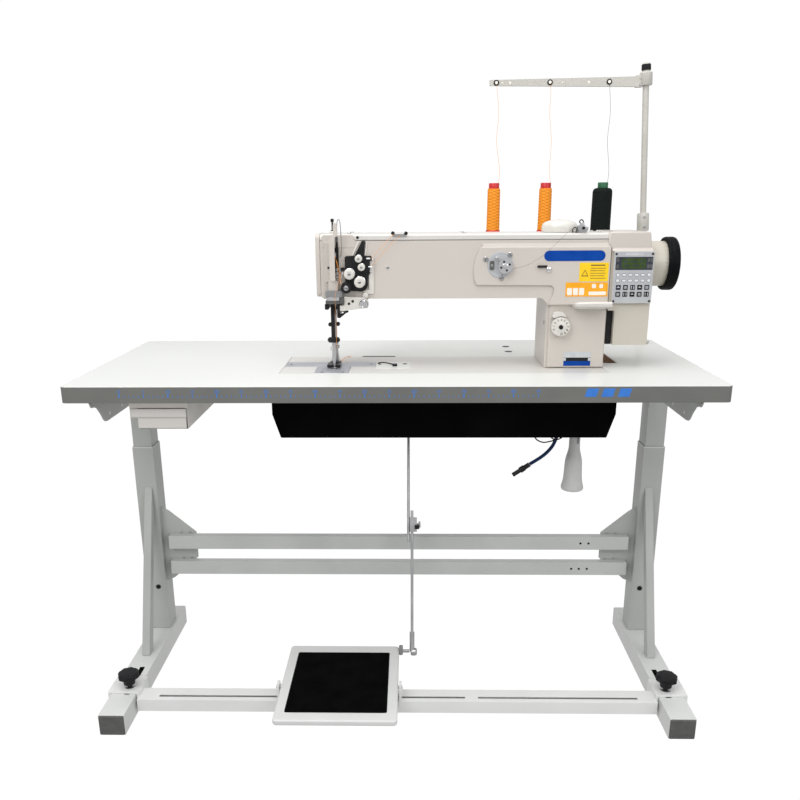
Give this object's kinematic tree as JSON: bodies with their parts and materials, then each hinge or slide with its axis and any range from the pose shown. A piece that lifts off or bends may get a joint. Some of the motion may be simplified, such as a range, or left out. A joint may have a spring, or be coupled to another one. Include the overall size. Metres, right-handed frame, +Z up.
{
  "type": "leather sewing machine",
  "caption": "Long-arm walking-foot sewing machine for leather, on a white table with a height-adjustable steel stand, treadle, drawer and thread stand.",
  "frame": {"origin": "middle of the footprint, on the floor", "axes": "+X to the operator's right along the table, +Y away from the operator, +Z up"},
  "size_m": [1.36, 0.724, 1.4526],
  "materials": {
    "stand_paint": "grey powder coat",
    "black_plastic": "fine-grained black",
    "rubber_mat": "ribbed black rubber",
    "steel": "ground steel",
    "chrome": "polished",
    "black_metal": "black satin",
    "table_laminate": "off-white laminate on board",
    "cream_sheet": "cream painted sheet",
    "cream_paint": "cream stove enamel on cast iron",
    "cream_cover": "cream moulded cover",
    "cream_plastic": "cream moulded plastic",
    "panel_grey": "grey panel",
    "clear_plastic": "milky translucent",
    "orange_thread": "wound thread",
    "dark_thread": "wound thread",
    "blue_hose": "dark blue hose"
  },
  "bodies": {
    "stand": {"left_foot": "stand_paint", "right_foot": "stand_paint", "left_outer_column": "stand_paint", "right_outer_column": "stand_paint", "left_brace": "stand_paint", "right_brace": "stand_paint", "upper_rail": "stand_paint", "lower_rail": "stand_paint"},
    "crossbar": {"crossbar": "stand_paint"},
    "left_knob": {"left_clamp_knob": "black_plastic"},
    "right_knob": {"right_clamp_knob": "black_plastic"},
    "pedal": {"pedal_frame": "stand_paint", "pedal_mat": "rubber_mat"},
    "lower_rod": {"lower_treadle_rod": "steel", "rod_clamp": "black_metal"},
    "table": {"table_top": "table_laminate", "left_inner_column": "stand_paint", "right_inner_column": "stand_paint", "drawer_housing": "cream_sheet", "oil_pan": "black_plastic", "oil_bottle": "clear_plastic", "control_box": "black_plastic", "thread_pole": "stand_paint", "spool_bar": "stand_paint", "guide_bar": "stand_paint", "orange_cone_1": "orange_thread", "orange_cone_2": "orange_thread", "dark_cone": "dark_thread", "air_hose": "blue_hose", "hose_connector": "chrome"},
    "drawer": {"drawer": "cream_sheet"},
    "speed_lever": {"speed_lever": "steel"},
    "upper_rod": {"upper_treadle_rod": "steel"},
    "head": {"bed_plate": "cream_paint", "arm_casting": "cream_paint", "top_cover": "cream_cover", "face_plate": "cream_cover", "needle_plate": "steel", "tension_plate": "black_metal", "motor_housing": "cream_cover", "control_panel": "panel_grey", "winder_plate": "steel"},
    "drive": {"main_shaft": "steel", "handwheel": "black_plastic"},
    "hook": {"hook": "steel"},
    "needle_bar": {"needle_bar": "chrome"},
    "take_up": {"take_up_lever": "steel"},
    "presser": {"presser_bar": "chrome"},
    "walking_foot": {"walking_foot": "black_metal"},
    "presser_lifter": {"presser_lifter": "black_metal"},
    "bobbin": {"bobbin": "chrome"},
    "stitch_dial": {"stitch_dial": "cream_plastic"},
    "reverse_lever": {"reverse_lever": "cream_plastic"},
    "foot_lift_dial": {"foot_lift_dial": "cream_plastic"},
    "regulator": {"regulator_screw": "black_metal"},
    "small_knob_1": {"small_tension_knob_1": "cream_plastic"},
    "small_knob_2": {"small_tension_knob_2": "cream_plastic"},
    "large_knob_1": {"large_tension_knob_1": "cream_plastic"},
    "large_knob_2": {"large_tension_knob_2": "cream_plastic"},
    "check_knob": {"check_spring_knob": "black_plastic"}
  },
  "joints": [
    {"name": "crossbar_slide", "type": "slide", "parent": "stand", "child": "crossbar", "axis": [0, 1, 0], "range_m": [-0.015, 0.03]},
    {"name": "left_knob_turn", "type": "hinge", "parent": "crossbar", "child": "left_knob", "pos_m": [-0.625, -0.188, 0.08], "axis": [0, 0, 1], "range_deg": [0, 350]},
    {"name": "right_knob_turn", "type": "hinge", "parent": "crossbar", "child": "right_knob", "pos_m": [0.625, -0.188, 0.08], "axis": [0, 0, 1], "range_deg": [0, 350]},
    {"name": "pedal_tilt", "type": "hinge", "parent": "crossbar", "child": "pedal", "pos_m": [0, -0.219, 0.077], "axis": [1, 0, 0], "range_deg": [-10, 10], "stiffness_Nm_per_rad": 60, "springref_deg": 0.57},
    {"name": "lower_rod_swing", "type": "hinge", "parent": "pedal", "child": "lower_rod", "pos_m": [0.038, -0.058, 0.085], "axis": [1, 0, 0], "range_deg": [-10.2, 10.2]},
    {"name": "table_height", "type": "slide", "parent": "stand", "child": "table", "axis": [0, 0, 1], "range_m": [-0.05, 0.04]},
    {"name": "drawer_slide", "type": "slide", "parent": "table", "child": "drawer", "axis": [0, -1, 0], "range_m": [0, 0.2]},
    {"name": "speed_lever_swing", "type": "hinge", "parent": "table", "child": "speed_lever", "pos_m": [0.0405, 0.212, 0.61], "axis": [1, 0, 0], "range_deg": [-20.4, 20.4]},
    {"name": "upper_rod_swing", "type": "hinge", "parent": "speed_lever", "child": "upper_rod", "pos_m": [0.034, 0.132, 0.61], "axis": [1, 0, 0], "range_deg": [-20.4, 20.4]},
    {"name": "head_tilt", "type": "hinge", "parent": "table", "child": "head", "pos_m": [0, 0.107, 0.7825], "axis": [-1, 0, 0], "range_deg": [0, 30]},
    {"name": "handwheel_turn", "type": "hinge", "parent": "head", "child": "drive", "pos_m": [0.3, 0.017, 1.0035], "axis": [1, 0, 0], "continuous": true},
    {"name": "hook_turn", "type": "hinge", "parent": "head", "child": "hook", "pos_m": [0.1, -0.014, 0.735], "axis": [1, 0, 0], "continuous": true},
    {"name": "needle_bar_slide", "type": "slide", "parent": "head", "child": "needle_bar", "axis": [0, 0, 1], "range_m": [-0.034, 0.002]},
    {"name": "take_up_swing", "type": "hinge", "parent": "head", "child": "take_up", "pos_m": [-0.1265, -0.003, 1.02], "axis": [1, 0, 0], "range_deg": [-2, 26]},
    {"name": "presser_lift", "type": "slide", "parent": "head", "child": "presser", "axis": [0, 0, 1], "range_m": [0, 0.012], "stiffness_N_per_m": 1500, "springref_m": -0.01},
    {"name": "walking_foot_lift", "type": "slide", "parent": "head", "child": "walking_foot", "axis": [0, 0, 1], "range_m": [0, 0.008], "stiffness_N_per_m": 1200, "springref_m": -0.01},
    {"name": "presser_lifter_swing", "type": "hinge", "parent": "head", "child": "presser_lifter", "pos_m": [-0.128, 0.024, 0.91], "axis": [0, -1, 0], "range_deg": [0, 50]},
    {"name": "bobbin_spin", "type": "hinge", "parent": "head", "child": "bobbin", "pos_m": [0.236, -0.058, 1.005], "axis": [0, 1, 0], "continuous": true},
    {"name": "stitch_dial_turn", "type": "hinge", "parent": "head", "child": "stitch_dial", "pos_m": [0.361, -0.058, 0.875], "axis": [0, -1, 0], "range_deg": [0, 300]},
    {"name": "reverse_lever_press", "type": "hinge", "parent": "head", "child": "reverse_lever", "pos_m": [0.424, -0.055, 0.918], "axis": [1, 0, 0], "range_deg": [0, 14], "stiffness_Nm_per_rad": 1, "springref_deg": -8.59},
    {"name": "foot_lift_dial_turn", "type": "hinge", "parent": "head", "child": "foot_lift_dial", "pos_m": [0.358, 0.002, 1.08], "axis": [0, 0, 1], "range_deg": [0, 90]},
    {"name": "regulator_turn", "type": "hinge", "parent": "head", "child": "regulator", "pos_m": [-0.137, 0.005, 1.08], "axis": [0, 0, 1], "range_deg": [-180, 180]},
    {"name": "small_knob_1_turn", "type": "hinge", "parent": "head", "child": "small_knob_1", "pos_m": [-0.077, -0.063, 1.0215], "axis": [0, -1, 0], "range_deg": [-180, 180]},
    {"name": "small_knob_2_turn", "type": "hinge", "parent": "head", "child": "small_knob_2", "pos_m": [-0.071, -0.063, 1.004], "axis": [0, -1, 0], "range_deg": [-180, 180]},
    {"name": "large_knob_1_turn", "type": "hinge", "parent": "head", "child": "large_knob_1", "pos_m": [-0.097, -0.063, 0.99], "axis": [0, -1, 0], "range_deg": [-180, 180]},
    {"name": "large_knob_2_turn", "type": "hinge", "parent": "head", "child": "large_knob_2", "pos_m": [-0.075, -0.063, 0.973], "axis": [0, -1, 0], "range_deg": [-180, 180]},
    {"name": "check_knob_turn", "type": "hinge", "parent": "head", "child": "check_knob", "pos_m": [-0.104, -0.063, 0.961], "axis": [0, -1, 0], "range_deg": [-180, 180]}
  ],
  "couplings": [
    {"joint": "lower_rod_swing", "follows": "pedal_tilt", "ratio": -1},
    {"joint": "speed_lever_swing", "follows": "pedal_tilt", "ratio": -2},
    {"joint": "upper_rod_swing", "follows": "pedal_tilt", "ratio": 2},
    {"joint": "hook_turn", "follows": "handwheel_turn", "ratio": 2},
    {"joint": "take_up_swing", "follows": "needle_bar_slide", "rad_per_m": -13}
  ]
}
